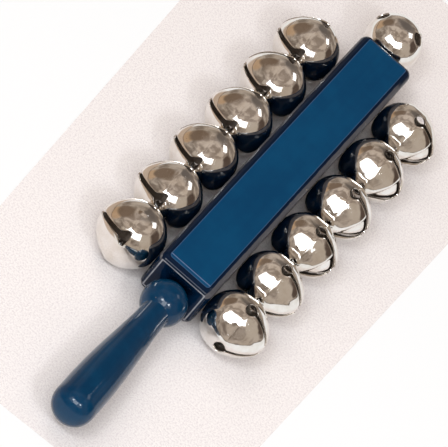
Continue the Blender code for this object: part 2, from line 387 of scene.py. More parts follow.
# %% [markdown]
# Beside the second coat the first one shows as a nearly black strip. Outside that, a grey strip is
# painted on the rounding as far as the last bells, as a painted reflection of the paper and the
# bells in the gloss, set further out on the left side, and it is made rougher too. A pale grey line
# round the end face at the handle is a painted highlight along its arris. `turned` says how far the
# rounding has turned from the broad face (0) to the side (1).

# %% The painted edge reflections
BAR_EDGE_RADIUS = 2.9 * MM
END_DROP = 2.1 * MM
REFLECTION_STOPS_BEFORE_TIP = 13 * MM
# Painted reflection: the grey of the strip on the rounding, in place of the paper and bells
# mirrored there.
PAINTED_REFLECTION_GREY = colour(0.088, 0.086, 0.096)
# Painted highlight: the pale line along the end face's arris at the handle.
PAINTED_ARRIS_HIGHLIGHT = colour(0.34, 0.35, 0.38)


def edge_reflections_and_chips(graph, place, ragged, base):
    """Gives the colour with the painted reflection strip, the painted arris highlight and the chips
    in it, and a mask of what is rough.
    """
    across, along, above = past_faces(graph, place)
    aside = (across + BAR_EDGE_RADIUS).most(0)
    upward = (above + BAR_EDGE_RADIUS).most(0)
    turned = aside / (aside + upward).most(0.01 * MM) + ragged * 0.10
    on_left = 1 - graph.part(place, 0).rise(-1 * MM, 1 * MM)
    # A painted reflection strip along the rounding, set further out on the left side, and also
    # rougher.
    reflection_strip = (turned - on_left * 0.26).rise(0.26, 0.36) * (1 - turned.rise(0.84, 0.97))
    past_bells = (graph.part(place, 1) - bar_high.y + REFLECTION_STOPS_BEFORE_TIP).rise(0, 5 * MM)
    reflection_strip = reflection_strip * upward.rise(0, 0.1 * MM) * (1 - past_bells)
    base = graph.mix(reflection_strip * 0.85, base, PAINTED_REFLECTION_GREY)

    # A painted highlight: a pale line round the end face at the handle, along its arris.
    frame_line = (across + END_DROP).most(above + END_DROP).size()
    arris_highlight = (1 - frame_line.rise(0.10 * MM, 0.34 * MM)) * (along + 0.4 * MM).rise(0, 0.2 * MM)
    arris_highlight = arris_highlight * by_handle(graph, place) * (0.75 + ragged)
    base = graph.mix(arris_highlight, base, PAINTED_ARRIS_HIGHLIGHT)
    chips = turned.rise(0.2, 0.3) * graph.noise(place, 520.0, 3.0, 0.7).rise(0.71, 0.75)
    base = graph.mix(chips, base, PALE_WOOD)
    return base, reflection_strip.most(arris_highlight).most(chips)


def bar_coats(graph, place, thinness, base):
    ragged = graph.noise(place, 260.0, 2.0) - 0.5
    base, raised = second_coat(graph, place, thinness, ragged, base)
    base, rough_places = edge_reflections_and_chips(graph, place, ragged, base)
    return base, raised, rough_places


bar_paint = paint_finish(
    "Bar paint", colour(0.0006, 0.006, 0.020), colour(0.0010, 0.010, 0.030), 0.17, bar_coats
)
print("bar paint nodes:", len(bar_paint.node_tree.nodes))

# %% [markdown]
# ## The bar
#
# The bar is a planed stick whose long edges are full rounds. Its ends are softer: sanding has drawn
# the faces down in a long, flat curve, and then the end was sawn off, so that the end face is flat
# and meets the curve at a crisp arris. The tip end is the rounder one. A bevelled box can't have
# such ends. So the bar is drawn as a row of closed rings, each a rounded rectangle, which shrink
# towards the ends along an ellipse.

# %% The rings of the bar
TIP_END_DROP = 2.75 * MM
EDGE_STEPS = 10
FLAT_STEPS = 4
END_STEPS = 12
EVEN_STEPS = 19


def end_inset(from_end, drop):
    """How far the bar's sides have come in, at a distance from its end."""
    share = max(0.0, 1 - (from_end + SAWN_OFF) / END_REACH)
    return drop * (1 - math.sqrt(1 - share**2))


def ring_stations():
    """Distances along half of the bar, close together where the end curves."""
    start = math.acos(1 - SAWN_OFF / END_REACH)
    angles = [start + (QUARTER - start) * step / END_STEPS for step in range(END_STEPS + 1)]
    near = [END_REACH * (1 - math.cos(angle)) - SAWN_OFF for angle in angles]
    rest = bar_size.y / 2 - near[-1]
    return near + [near[-1] + rest * step / EVEN_STEPS for step in range(1, EVEN_STEPS + 1)]


def ring_outline(inset):
    """The points round a rounded rectangle, as (across, above) pairs."""
    radius = BAR_EDGE_RADIUS - inset
    half_width = bar_size.x / 2 - inset - radius
    half_height = bar_size.z / 2 - inset - radius
    corners = []
    for quarter, (side, top) in enumerate(((1, 1), (-1, 1), (-1, -1), (1, -1))):
        for step in range(EDGE_STEPS + 1):
            angle = QUARTER * (quarter + step / EDGE_STEPS)
            across = side * half_width + radius * math.cos(angle)
            corners.append((across, top * half_height + radius * math.sin(angle)))
    points = []
    for index, corner in enumerate(corners):
        points.append(Vector(corner))
        if index % (EDGE_STEPS + 1) == EDGE_STEPS:
            onward = Vector(corners[(index + 1) % len(corners)])
            shares = [step / FLAT_STEPS for step in range(1, FLAT_STEPS)]
            points += [Vector(corner).lerp(onward, share) for share in shares]
    return points


print("points in one ring:", len(ring_outline(0)), "rings in half the bar:", len(ring_stations()))

# %% [markdown]
# A hand plane never leaves a dead flat face, so every point also sinks a little, by an amount that
# changes slowly along the bar. The rings are then joined, and a small bevel takes the sharpness off
# the sawn edges.

# %% The planed bar
PLANED_DEPTH = 0.10 * MM
PLANE_WAVES = (30, 28, 30)  # in a metre, along X, Y and Z
ARRIS_WIDTH = 0.20 * MM


def planed(point):
    """The point of the bar, sunk towards the middle of its section."""
    waves = Vector([part * count for part, count in zip(point, PLANE_WAVES)])
    depth = PLANED_DEPTH * (0.5 + 0.5 * noise.noise(waves))
    point.x -= math.copysign(depth, point.x)
    point.z -= math.copysign(depth, point.z)
    return bar_middle + point


def bar_rings():
    bm = bmesh.new()
    half = bar_size.y / 2
    stations = [(from_end - half, end_inset(from_end, END_DROP)) for from_end in ring_stations()]
    for from_end in ring_stations()[-2::-1]:
        stations.append((half - from_end, end_inset(from_end, TIP_END_DROP)))
    rings = []
    for along, inset in stations:
        points = [planed(Vector((point.x, along, point.y))) for point in ring_outline(inset)]
        rings.append([bm.verts.new(point) for point in points])
    for ring, onward in zip(rings, rings[1:]):
        for index in range(len(ring)):
            after = (index + 1) % len(ring)
            bm.faces.new((ring[index], ring[after], onward[after], onward[index]))
    ends = [bm.faces.new(rings[0]), bm.faces.new(rings[-1])]
    edges = [edge for face in ends for edge in face.edges]
    bmesh.ops.bevel(
        bm, geom=edges, offset=ARRIS_WIDTH, segments=2, profile=0.5,
        affect="EDGES", clamp_overlap=True,
    )
    bmesh.ops.recalc_face_normals(bm, faces=bm.faces)
    return bm


bar = add_object("painted_bar", finish_mesh(bar_rings(), "Bar"), bar_paint)
print("bar faces:", len(bar.data.polygons))

# %% [markdown]
# The bar is drilled for the nails and the handle's tenon. The holes are cut with a Boolean, as a
# drill would cut them, by rods that stay hidden in a collection of their own.

# %% The drilled holes
NAIL_HOLE_RADIUS = 1.2 * MM
TENON_RADIUS = 3.5 * MM
SEAT_GAP = 0.3 * MM
HANDLE_ASIDE = 0.5 * MM
HANDLE_LEAN = math.radians(0.7)
DRILL_SIDES = 32

drills = bpy.data.collections.new("Drills")
bpy.context.scene.collection.children.link(drills)


def add_drill(name, start, end, radius):
    bm = bmesh.new()
    length = (end - start).length
    bmesh.ops.create_cone(
        bm, cap_ends=True, segments=DRILL_SIDES, radius1=radius, radius2=radius, depth=length
    )
    turn = (end - start).to_track_quat("Z", "Y").to_matrix().to_4x4()
    bmesh.ops.transform(bm, matrix=Matrix.Translation((start + end) / 2) @ turn, verts=bm.verts)
    drill = bpy.data.objects.new(name, finish_mesh(bm, name, smooth=False))
    drills.objects.link(drill)
    drill.hide_render = True
    drill.hide_viewport = True


for label in LABELS:
    nail_low, nail_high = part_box(f"nail_{label}")
    start = bell_middle(label)
    end = start.copy()
    axis = nail_axis(label)
    outside = start[axis] > bar_middle[axis]
    end[axis] = nail_low[axis] - SEAT_GAP if outside else nail_high[axis] + SEAT_GAP
    add_drill(f"drill_{label}", start, end, NAIL_HOLE_RADIUS)

seat = Matrix.Translation((HANDLE_ASIDE, bar_low.y, bar_middle.z))
seat = seat @ Euler((-QUARTER, 0, HANDLE_LEAN)).to_matrix().to_4x4()
handle_low, handle_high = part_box("handle")
tenon_length = handle_high.y - bar_low.y
socket_start = seat @ Vector((0, 0, -SEAT_GAP))
socket_end = seat @ Vector((0, 0, tenon_length + SEAT_GAP))
add_drill("drill_socket", socket_start, socket_end, TENON_RADIUS + SEAT_GAP)

drilling = bar.modifiers.new("Drilled holes", "BOOLEAN")
drilling.operand_type = "COLLECTION"
drilling.collection = drills
stand_for(bar, "bar")

# %% [markdown]
# ## The handle
#
# The handle is turned on a lathe, so it is one profile spun about an axis: a ball collar, a cove,
# a neck that swells to the grip, and a round end. The Screw modifier does the spinning. The
# profile is worked out from arcs, and in the photo the ball meets the neck at a tight one.

# %% The ball collar and its cove
COLLAR_RADIUS = 8.3 * MM
COVE_RADIUS = 0.6 * MM
NECK_RADIUS = 5.2 * MM


def arc(centre, radius, start, end, steps):
    """Points round a centre, as (radius, height) pairs. The angle is from the +height axis."""
    angles = [start + (end - start) * step / steps for step in range(steps + 1)]
    return [(centre[0] + radius * math.sin(a), centre[1] + radius * math.cos(a)) for a in angles]


def collar_and_cove():
    """A ball that runs into a cove, which ends at the neck."""
    middle = -SEAT_GAP - math.sqrt(COLLAR_RADIUS**2 - TENON_RADIUS**2)
    drop = math.sqrt((COLLAR_RADIUS + COVE_RADIUS) ** 2 - (NECK_RADIUS + COVE_RADIUS) ** 2)
    meeting = math.atan2(NECK_RADIUS + COVE_RADIUS, -drop)
    top = math.asin(TENON_RADIUS / COLLAR_RADIUS)
    cove = (NECK_RADIUS + COVE_RADIUS, middle - drop)
    points = arc((0, middle), COLLAR_RADIUS, top, meeting, steps=44)
    return points + arc(cove, COVE_RADIUS, meeting - math.pi, -QUARTER, steps=8)[1:]


print("collar and cove points:", len(collar_and_cove()))

# %% [markdown]
# Past a short even neck the handle swells along a smooth ramp and then stays even up to its round
# end, which the photo shows a little blunter than a ball. A power under 1 on the sine and cosine
# of a ball's arc pushes it out in that way.

# %% The turned profile
NECK_LENGTH = 1.6 * MM
GRIP_RADIUS = 7.8 * MM
GRIP_EVEN_LENGTH = 7.0 * MM
TENON_CHAMFER = 0.6 * MM
SWELL_STEPS = 36
SWELL_LEAD = 0.8  # under 1 lets the grip swell sooner
BLUNTNESS = 0.86  # 1 is half a ball, less is blunter
handle_length = (bar_low.y - handle_low.y) / math.cos(HANDLE_LEAN)


def ramp(value, low, high):
    """0 up to low, 1 from high on, and a smooth ramp between them."""
    share = min(1.0, max(0.0, (value - low) / (high - low)))
    return share * share * (3 - 2 * share)


def round_end(steps):
    """The grip's end, which is a little blunter than half a ball."""
    points = []
    for step in range(1, steps + 1):
        angle = QUARTER * step / steps
        radius = GRIP_RADIUS * max(0.0, math.cos(angle)) ** BLUNTNESS
        height = GRIP_RADIUS * math.sin(angle) ** BLUNTNESS
        points.append((radius, GRIP_RADIUS - handle_length - height))
    return points


def handle_profile():
    points = [(0, tenon_length), (TENON_RADIUS - TENON_CHAMFER, tenon_length)]
    points.append((TENON_RADIUS, tenon_length - TENON_CHAMFER))
    points += collar_and_cove()
    swell_start = points[-1][1] - NECK_LENGTH
    swell_end = GRIP_RADIUS + GRIP_EVEN_LENGTH - handle_length
    for step in range(SWELL_STEPS + 1):
        swell = ramp((step / SWELL_STEPS) ** SWELL_LEAD, 0, 1)
        height = swell_start + (swell_end - swell_start) * step / SWELL_STEPS
        points.append((NECK_RADIUS + (GRIP_RADIUS - NECK_RADIUS) * swell, height))
    points.append((GRIP_RADIUS, GRIP_RADIUS - handle_length))
    points += round_end(steps=24)
    points[-1] = (0, -handle_length)
    return points


print("profile points:", len(handle_profile()))

# %% [markdown]
# The handle has one coat of the same kind of paint, in a lighter blue than the bar's first coat
# and a little glossier. Its profile lies in the plane of X and Z, and the lathe spins it about Z.

# %% Spinning the handle
LATHE_STEPS = 96
MERGE_DISTANCE = 0.01 * MM

handle_paint = paint_finish(
    "Handle paint", colour(0.0005, 0.026, 0.068), colour(0.0010, 0.037, 0.090), 0.30
)
bm = bmesh.new()
corners = [bm.verts.new((radius, 0, height)) for radius, height in handle_profile()]
for upper, lower in zip(corners, corners[1:]):
    bm.edges.new((upper, lower))
handle = add_object("turned_handle", finish_mesh(bm, "Handle"), handle_paint)
handle.matrix_world = seat
turning = handle.modifiers.new("Lathe", "SCREW")
turning.steps = turning.render_steps = LATHE_STEPS
turning.use_smooth_shade = True
turning.use_merge_vertices = True
turning.merge_threshold = MERGE_DISTANCE
stand_for(handle, "handle")
print("handle length outside the bar, mm:", round(1000 * handle_length, 2))

# %% [markdown]
# ## Nickel plate
#
# Each bell is pressed from sheet steel and plated with nickel, which is nearly a mirror. Its
# colour comes from what it reflects, so the finish itself holds back: a faint warm cloud, finger
# smears that dull the gloss, fine scratches, and a brownish tarnish that collects along the cut
# edges. How near a point is to a cut edge is stored in the mesh, as the attribute `cut_edge`.

# %% The plated finish
PRESS_DEPTH = 0.05 * MM
SCRATCH_DEPTH = 0.004 * MM


def nickel_finish():
    material, graph, shader = new_finish("Nickel plate", 1.0)
    place = graph.place()
    clouds = graph.noise(place, 160.0, 3.0, 0.6).rise(0.35, 0.75)
    base = graph.mix(clouds, colour(0.84, 0.82, 0.79), colour(0.74, 0.70, 0.64))
    cut_edge = graph.add("ShaderNodeAttribute", {"attribute_name": "cut_edge"}, None, "Fac")
    ragged = graph.noise(place, 900.0, 3.0, 0.65)
    tarnish = (cut_edge * 0.75 + ragged * 0.5).rise(0.78, 1.15)
    base = graph.mix(tarnish * 0.55, base, colour(0.34, 0.27, 0.20))
    pits = graph.spots(place, 420.0, 0.07) * (graph.noise(place, 130.0) > 0.55)
    base = graph.mix(pits * 0.6, base, colour(0.20, 0.17, 0.14))

    smears = graph.noise(graph.stretch(place, (1, 0.5, 1.4)), 240.0, 4.0, 0.6).rise(0.5, 0.8)
    one_way = graph.noise(graph.stretch(place, (5200, 260, 900)), 1.0, 1.0).rise(0.66, 0.74)
    other_way = graph.noise(graph.stretch(place, (300, 4700, 1500)), 1.0, 1.0).rise(0.68, 0.76)
    scratches = one_way.most(other_way)
    roughness = 0.045 + smears * 0.10 + scratches * 0.06 + tarnish * 0.16
    pressed = graph.bump(graph.noise(place, 330.0, 1.0), PRESS_DEPTH)
    skin = graph.bump(0 - scratches - pits * 3, SCRATCH_DEPTH, pressed)
    end_finish(graph, shader, base, roughness, skin)
    return material


def inside_finish():
    """The plating hardly reaches the inside, which is dull and brown-grey."""
    material, graph, shader = new_finish("Bell inside", 1.0)
    place = graph.place()
    stains = graph.noise(place, 320.0, 4.0, 0.65).rise(0.35, 0.7)
    base = graph.mix(stains, colour(0.58, 0.54, 0.50), colour(0.38, 0.32, 0.27))
    roughness = 0.30 + stains * 0.22
    normal = graph.bump(graph.noise(place, 1500.0, 3.0), 0.03 * MM)
    end_finish(graph, shader, base, roughness, normal)
    return material


nickel = nickel_finish()
bell_inside = inside_finish()
print("nickel nodes:", len(nickel.node_tree.nodes))

# %% [markdown]
# ## The bells
#
# A slotted bell starts as a flat cross of sheet metal. It is drawn into a cup, and its four arms
# are bent together into petals, which leaves two crossing slots that open into a keyhole at each
# end. The left bells' keyholes flare like a fish tail and the others are rounder. Either is drawn
# as a smooth curve through a few points of its edge.

# %% The two keyholes
# Half the width of the slot, how far the keyhole's bottom bulges down, and the keyhole's edge from
# the slot down, as pairs of height over the equator and half-width in millimetres.
FISH_TAIL = {
    "slot": 0.95 * MM, "bulge": 0.1 * MM,
    "edge": [
        (3.4, 0.95), (2.6, 1.15), (1.8, 1.7), (0.9, 2.4), (0.0, 3.0), (-0.7, 3.2), (-1.45, 2.9)
    ],
}
KEYHOLE = {
    "slot": 0.80 * MM, "bulge": 0.8 * MM,
    "edge": [
        (3.6, 0.80), (2.9, 1.0), (2.2, 1.8), (1.4, 2.45), (0.5, 2.7), (-0.3, 2.5), (-0.9, 2.0)
    ],
}


def between(pairs, share):
    """The pair at a share of the way along a list of pairs, joined by a smooth curve."""
    at = share * (len(pairs) - 1)
    index = min(int(at), len(pairs) - 2)
    part = at - index
    before = Vector(pairs[max(index - 1, 0)])
    first = Vector(pairs[index])
    second = Vector(pairs[index + 1])
    after = Vector(pairs[min(index + 2, len(pairs) - 1)])
    bend = first * 2 + (second - before) * part
    bend += (before * 2 - first * 5 + second * 4 - after) * part**2
    bend += (first * 3 - before - second * 3 + after) * part**3
    return bend / 2


halfway = between(FISH_TAIL["edge"], 0.5)
print("fish tail halfway, height and half-width, mm:", [round(value, 2) for value in halfway])

# %% [markdown]
# A sphere with slots cut by a Boolean would have knife-sharp, perfectly round petals. So the sheet
# is built as a grid instead: its columns follow the petals' edges and its rows run from the petal
# tips to the foot, and the faces between the petals are left out. Each row needs its height, its
# radius and how far the petals stand apart in it.

# %% The rows of a bell
PETAL_TIP_HALF_ANGLE = math.radians(13)
PAD_RADIUS = 3.0 * MM
PETAL_COLUMNS = 18
BRIDGE_COLUMNS = 3
COLUMNS = PETAL_COLUMNS + 2 * BRIDGE_COLUMNS
PETAL_ROWS = 20
HOLE_ROWS = 11
CUP_ROWS = 14


def bell_rows(radius, opening):
    """(height, ring radius, half-width of the gap beside the petal), from petal tips to foot."""
    tip_ring = opening["slot"] / math.sin(QUARTER / 2 - PETAL_TIP_HALF_ANGLE)
    tip = math.asin(tip_ring / radius)
    slot_end = math.acos(opening["edge"][0][0] * MM / radius)
    rows = []
    for step in range(PETAL_ROWS):
        angle = tip + (slot_end - tip) * step / PETAL_ROWS
        rows.append((radius * math.cos(angle), radius * math.sin(angle), opening["slot"]))
    for step in range(HOLE_ROWS + 1):
        height, gap = between(opening["edge"], step / HOLE_ROWS) * MM
        rows.append((height, math.sqrt(radius**2 - height**2), gap))
    foot = math.acos(height / radius)
    pad = math.pi - math.asin(PAD_RADIUS / radius)
    foot_edge = math.acos(gap / rows[-1][1]) - QUARTER / 2
    even_edge = QUARTER / 2 * PETAL_COLUMNS / COLUMNS
    for step in range(1, CUP_ROWS + 1):
        share = step / CUP_ROWS
        angle = foot + (pad - foot) * share
        ring = radius * math.sin(angle)
        edge = foot_edge + (even_edge - foot_edge) * share
        rows.append((radius * math.cos(angle), ring, ring * math.cos(edge + QUARTER / 2)))
    for ring in ((PAD_RADIUS + NAIL_HOLE_RADIUS) / 2, NAIL_HOLE_RADIUS):
        rows.append((rows[-1][0], ring, ring * math.cos(even_edge + QUARTER / 2)))
    return rows


print("rows from petal tip to foot:", len(bell_rows(bell_radius(LABELS[0]), FISH_TAIL)))

# %% [markdown]
# No two bells are alike: the press and years of shaking leave each petal bent in a little, with
# shallow dents and fine wrinkles. The right bells are the most battered ones and the tip bell is
# nearly as it was made. How one bell differs is drawn from its own seed, so that it never changes.

# %% The wear of each bell
LEFT_FACET = (0.60 * MM, 5.0 * MM)  # depth and width
RIGHT_FACET = (1.25 * MM, 7.0 * MM)
LATE_CREASE = 0.7 * MM
PETAL_BEND = 0.25 * MM
DENT_DEPTH = 0.34 * MM
WRINKLE_DEPTH = 0.07 * MM
RIGHT_WRINKLES = 3.0
TIP_WEAR = 0.12
TIP_FOLD = 0.1
KNOCKED = ("right_3", "right_4", "right_5", "right_6")


def wear_of(label, seed):
    """How one bell differs from the others."""
    chooser = random.Random(seed)
    side = label.split("_")[0]
    depth, width = RIGHT_FACET if side == "right" else LEFT_FACET
    share = TIP_WEAR if side == "tip" else 1
    return {
        "shift": Vector((seed * 7.3, seed * 3.1, seed * 5.7)),
        "crease": chooser.uniform(0.3, 0.9) * MM + (0 if side == "left" else LATE_CREASE),
        "fold": chooser.uniform(0.85, 1.1) * (TIP_FOLD if side == "tip" else 1),
        "facets": [chooser.uniform(0.85, 1.15) * depth * share for _ in range(4)],
        "width": width,
        "bends": [chooser.uniform(0.0, 1.0) * PETAL_BEND * share for _ in range(4)],
        "dent": DENT_DEPTH * share,
        "wrinkle": WRINKLE_DEPTH * (RIGHT_WRINKLES if side == "right" else 1),
        "knocked": label in KNOCKED,
    }


print("wear of the tip bell:", wear_of("tip", len(LABELS)))

# %% [markdown]
# A petal isn't a piece of a ball. It is a flat arm that was bent over at one line just past the
# bell's equator, so it keeps a soft crease there and a flatter middle. That is why the photo's
# bells show broad even patches with sudden borders. Four of the right bells have been knocked, so
# that the corner of one petal is pushed in along a line and the petal below it is crumpled.
#
# The petals' flats, bends and dents only sink into the ball, so a bell stays inside its CAD piece
# but for the thin air over the CAD's coarser facets. Over the two places where the pellet stops it
# sinks by less than the air there.

# %% Pressing and denting a bell
SKIN_SINK = 0.04 * MM
FOLD_ANGLE = math.radians(12)
FAR_FOLD_ANGLE = math.radians(4)
DENT_WIDTH = 8.0 * MM
WRINKLE_WIDTH = 3.2 * MM
CORNER_LINE = Vector((0.752, 0.127, 0.647))
CORNER_DEPTH = 1.4 * MM
CRUMPLE_DEPTH = 0.55 * MM
CRUMPLE_WIDTH = 2.4 * MM
CRUMPLE_LENGTH = 5.0 * MM
PELLET_CLEARANCE = 0.6 * MM


def wavy(place):
    """A smooth random height from 0 to 1."""
    return 0.5 + 0.5 * noise.noise(place)


def crumpled(point, shift):
    streaks = Vector((point.x, point.y, point.z * CRUMPLE_WIDTH / CRUMPLE_LENGTH)) / CRUMPLE_WIDTH
    return CRUMPLE_DEPTH * wavy(streaks + shift) * ramp(point.z, 0, 4 * MM)


def petal_sink(point, radius, wear):
    """How far inside the ball a petal lies, because it is bent at one line and flat across."""
    from_pole = math.acos(max(-1.0, min(1.0, point.z / radius)))
    arm = math.acos(wear["crease"] / radius) * radius
    past = max(0.0, 1 - from_pole * radius / arm)
    slope = math.tan(FOLD_ANGLE) * (1 - past) + math.tan(FAR_FOLD_ANGLE) * past
    sink = wear["fold"] * arm * past * (1 - past) * slope
    quarter, angle = divmod(math.atan2(point.y, point.x) % (4 * QUARTER), QUARTER)
    across = (angle - QUARTER / 2) * radius * math.sin(from_pole)
    flat = wear["facets"][int(quarter)] * math.exp(-((across / wear["width"]) ** 2))
    sink += flat * math.sin(from_pole) ** 2 * ramp(point.z, -9 * MM, -1 * MM)
    if point.z > 0:
        sink += wear["bends"][int(quarter)] * (point.z / radius) ** 2
    if wear["knocked"] and quarter == 2:
        sink += CORNER_DEPTH * ramp(point.dot(CORNER_LINE), 0, 2.6 * MM)
    if wear["knocked"] and quarter == 3:
        sink += crumpled(point, wear["shift"])
    return sink


def worn(point, radius, wear, upright):
    """A point of the perfect ball, moved to where it is on a pressed and worn bell."""
    dents = wear["dent"] * wavy(point / DENT_WIDTH + wear["shift"])
    wrinkles = wear["wrinkle"] * wavy(point / WRINKLE_WIDTH + wear["shift"])
    sink = dents + wrinkles + petal_sink(point, radius, wear)
    sink *= ramp(point.z, -radius, -0.65 * radius)
    aside = point.length_squared - point.dot(upright) ** 2
    sink = min(sink, 0.8 * PELLET_CLEARANCE + 0.1 * aside / MM)
    return point * (1 - (SKIN_SINK + sink) / radius)


# %% [markdown]
# The skin of a bell is the grid of petal columns and rows, with each point pressed and worn. Where
# a column lies between two petals it is a bridge: it has no faces over the slots and the keyholes,
# and below them it closes the cup.

# %% The skin of a bell
CUT_EDGE_REACH = 1.6 * MM


def bell_skin(radius, opening, wear, upright):
    """The outer skin of a bell that opens to +Z, with its middle at the origin."""
    rows = bell_rows(radius, opening)
    last_open_row = PETAL_ROWS + HOLE_ROWS
    bm = bmesh.new()
    nearness = bm.verts.layers.float.new("cut_edge")
    grid = []
    for index, (height, ring, gap) in enumerate(rows):
        edge = math.acos(gap / ring) - QUARTER / 2
        below = max(0, index - last_open_row) / CUP_ROWS
        line = []
        for column in range(4 * COLUMNS):
            quarter, place = divmod(column, COLUMNS)
            lift = 0.0
            if BRIDGE_COLUMNS <= place <= BRIDGE_COLUMNS + PETAL_COLUMNS:
                across = edge * (2 * (place - BRIDGE_COLUMNS) / PETAL_COLUMNS - 1)
                rim = max(0.0, 1 - (edge - abs(across)) * ring / CUT_EDGE_REACH)
            else:
                away = min(place, COLUMNS - place) / BRIDGE_COLUMNS
                side = -1 if place < COLUMNS / 2 else 1
                across = side * (QUARTER / 2 - (QUARTER / 2 - edge) * away)
                lift = opening["bulge"] * math.sqrt(max(0.0, 1 - away**2))
                lift *= max(0.0, 1 - below * 3)
                rim = 1.0
            lowered = height - lift if index >= last_open_row else height
            round_ring = math.sqrt(radius**2 - lowered**2) if lift else ring
            angle = QUARTER * (quarter + 0.5) + across
            point = Vector((round_ring * math.cos(angle), round_ring * math.sin(angle), lowered))
            vertex = bm.verts.new(worn(point, radius, wear, upright))
            vertex[nearness] = rim * max(0.0, 1 - below * 5)
            line.append(vertex)
        grid.append(line)
    for index in range(len(rows) - 1):
        for column in range(4 * COLUMNS):
            place = column % COLUMNS
            bridge = not BRIDGE_COLUMNS <= place < BRIDGE_COLUMNS + PETAL_COLUMNS
            if bridge and index < last_open_row:
                continue
            after = (column + 1) % (4 * COLUMNS)
            upper, lower = grid[index], grid[index + 1]
            bm.faces.new((upper[column], lower[column], lower[after], upper[after]))
    bmesh.ops.delete(bm, geom=[v for v in bm.verts if not v.link_faces], context="VERTS")
    bmesh.ops.recalc_face_normals(bm, faces=bm.faces)
    return bm


# %% [markdown]
# The skin gets the thickness of the sheet with Solidify, which grows inwards and gives the inside
# its own, duller finish. A small bevel then rounds the cut edges, so that every slot and petal
# has the thin bright rim that catches the light. The turn of each bell about its nail was read
# off the photo: the left ones and the tip one are turned by about a third of a right angle, the
# right ones hardly.

# %% Thirteen bells
WALL = 0.6 * MM
RIM_ROUNDING = 0.13 * MM
SHARP = math.radians(55)
TURNS = {
    "left_1": 33, "left_2": 30, "left_3": 26, "left_4": 25, "left_5": 22, "left_6": 25,
    "right_1": 6, "right_2": 5, "right_3": 6, "right_4": 5, "right_5": 1, "right_6": 8,
    "tip": 35,
}


def facing(label):
    """The turn that points a bell's open side away from the bar."""
    if label == "tip":
        return Euler((-QUARTER, 0, 0))
    side = -1 if label.startswith("left") else 1
    return Euler((0, side * QUARTER, 0))


def add_bell(label, seed):
    turn = facing(label).to_matrix() @ Matrix.Rotation(math.radians(TURNS[label]), 3, "Z")
    upright = turn.transposed() @ Vector((0, 0, 1))
    opening = FISH_TAIL if label.startswith("left") else KEYHOLE
    bm = bell_skin(bell_radius(label), opening, wear_of(label, seed), upright)
    place = Matrix.Translation(bell_middle(label)) @ turn.to_4x4()
    bmesh.ops.transform(bm, matrix=place, verts=bm.verts)
    bell = add_object(f"slotted_bell_{label}", finish_mesh(bm, "Bell"), nickel, bell_inside)
    sheet = bell.modifiers.new("Sheet metal", "SOLIDIFY")
    sheet.thickness = WALL
    sheet.offset = -1
    sheet.use_even_offset = True
    sheet.material_offset = 1
    rim = bell.modifiers.new("Rounded cut edges", "BEVEL")
    rim.width = RIM_ROUNDING
    rim.segments = 2
    rim.limit_method = "ANGLE"
    rim.angle_limit = SHARP
    stand_for(bell, f"bell_{label}")
    return bell


for seed, label in enumerate(LABELS, start=1):
    bell = add_bell(label, seed)
print("bells:", len(LABELS), "faces in each skin:", len(bell.data.polygons))

# %% [markdown]
# ## Nails and pellets
#
# The CAD pieces already have the right shape, so they only get a real finish. The nails are plain
# steel that has gone brown. The pellets are tumbled steel balls, scuffed all over by rattling.

# %% Steel finishes
def steel_finish(name, bright, brown, rust, dullness):
    material, graph, shader = new_finish(name, 1.0)
    place = graph.place()
    stains = graph.noise(place, 700.0, 4.0, 0.65).rise(1 - rust, 1.1 - rust)
    base = graph.mix(stains, bright, brown)
    scuffs = graph.noise(graph.stretch(place, (2600, 600, 1400)), 1.0, 2.0).rise(0.55, 0.7)
    roughness = dullness + stains * 0.35 + scuffs * 0.12
    normal = graph.bump(graph.noise(place, 2200.0, 3.0) - scuffs * 0.5, 0.02 * MM)
    end_finish(graph, shader, base, roughness, normal)
    return material


nail_steel = steel_finish(
    "Nail steel", colour(0.50, 0.48, 0.45), colour(0.16, 0.09, 0.05), rust=0.5, dullness=0.3
)
pellet_steel = steel_finish(
    "Pellet steel", colour(0.52, 0.52, 0.52), colour(0.20, 0.15, 0.11), rust=0.38, dullness=0.18
)
for label in LABELS:
    frame["nodes"][f"nail_{label}"].material_slots[0].material = nail_steel
    frame["nodes"][f"pellet_{label}"].material_slots[0].material = pellet_steel
print("nails and pellets with a steel finish:", 2 * len(LABELS))

# %% [markdown]
# ## Paper and table
#
# The stick lies on a sheet of speckled, slightly pink paper, and the picture is white round it.
# Light Path's camera, glossy and transmission rays lift the table to white for the eye and for
# the metal, while it still takes the shadow and gives no extra light. The left bells in the photo
# also mirror a tan band just outside the paper, so there the metal sees a stretch of tan board.

# %% The paper
PAPER_CORNERS = ((-0.0733, 0.168), (0.0641, 0.174), (0.0553, -0.1254), (-0.0599, -0.133))


def flat_piece(name, corners, height, material):
    bm = bmesh.new()
    bm.faces.new([bm.verts.new((x, y, height)) for x, y in corners])
    bmesh.ops.recalc_face_normals(bm, faces=bm.faces)
    piece = add_object(name, finish_mesh(bm, name, smooth=False), material)
    print(name, "corners:", len(corners), "at height, mm:", round(1000 * height, 2))


def paper_finish():
    material, graph, shader = new_finish("Paper")
    place = graph.place()
    fibres = graph.noise(place, 1500.0, 3.0, 0.7)
    clouds = graph.noise(place, 26.0, 2.0)
    base = graph.mix(clouds, colour(0.855, 0.820, 0.808), colour(0.885, 0.850, 0.838))
    base = graph.mix(fibres.rise(0.34, 0.60), colour(0.70, 0.655, 0.66), base)
    flecks = graph.noise(place, 2100.0, 2.0, 0.6).rise(0.66, 0.72)
    base = graph.mix(flecks * 0.7, base, colour(0.45, 0.39, 0.42))
    end_finish(graph, shader, base, 0.9 + fibres * 0.05, graph.bump(fibres, 0.03 * MM))
    return material


flat_piece("paper", PAPER_CORNERS, 0.0, paper_finish())

# %% [markdown]
# The table is white card under the paper. `seen` says which rays see it lifted to white, and
# `beside` where the metal sees tan board: to the left of the paper, in a sector that opens away
# from it.

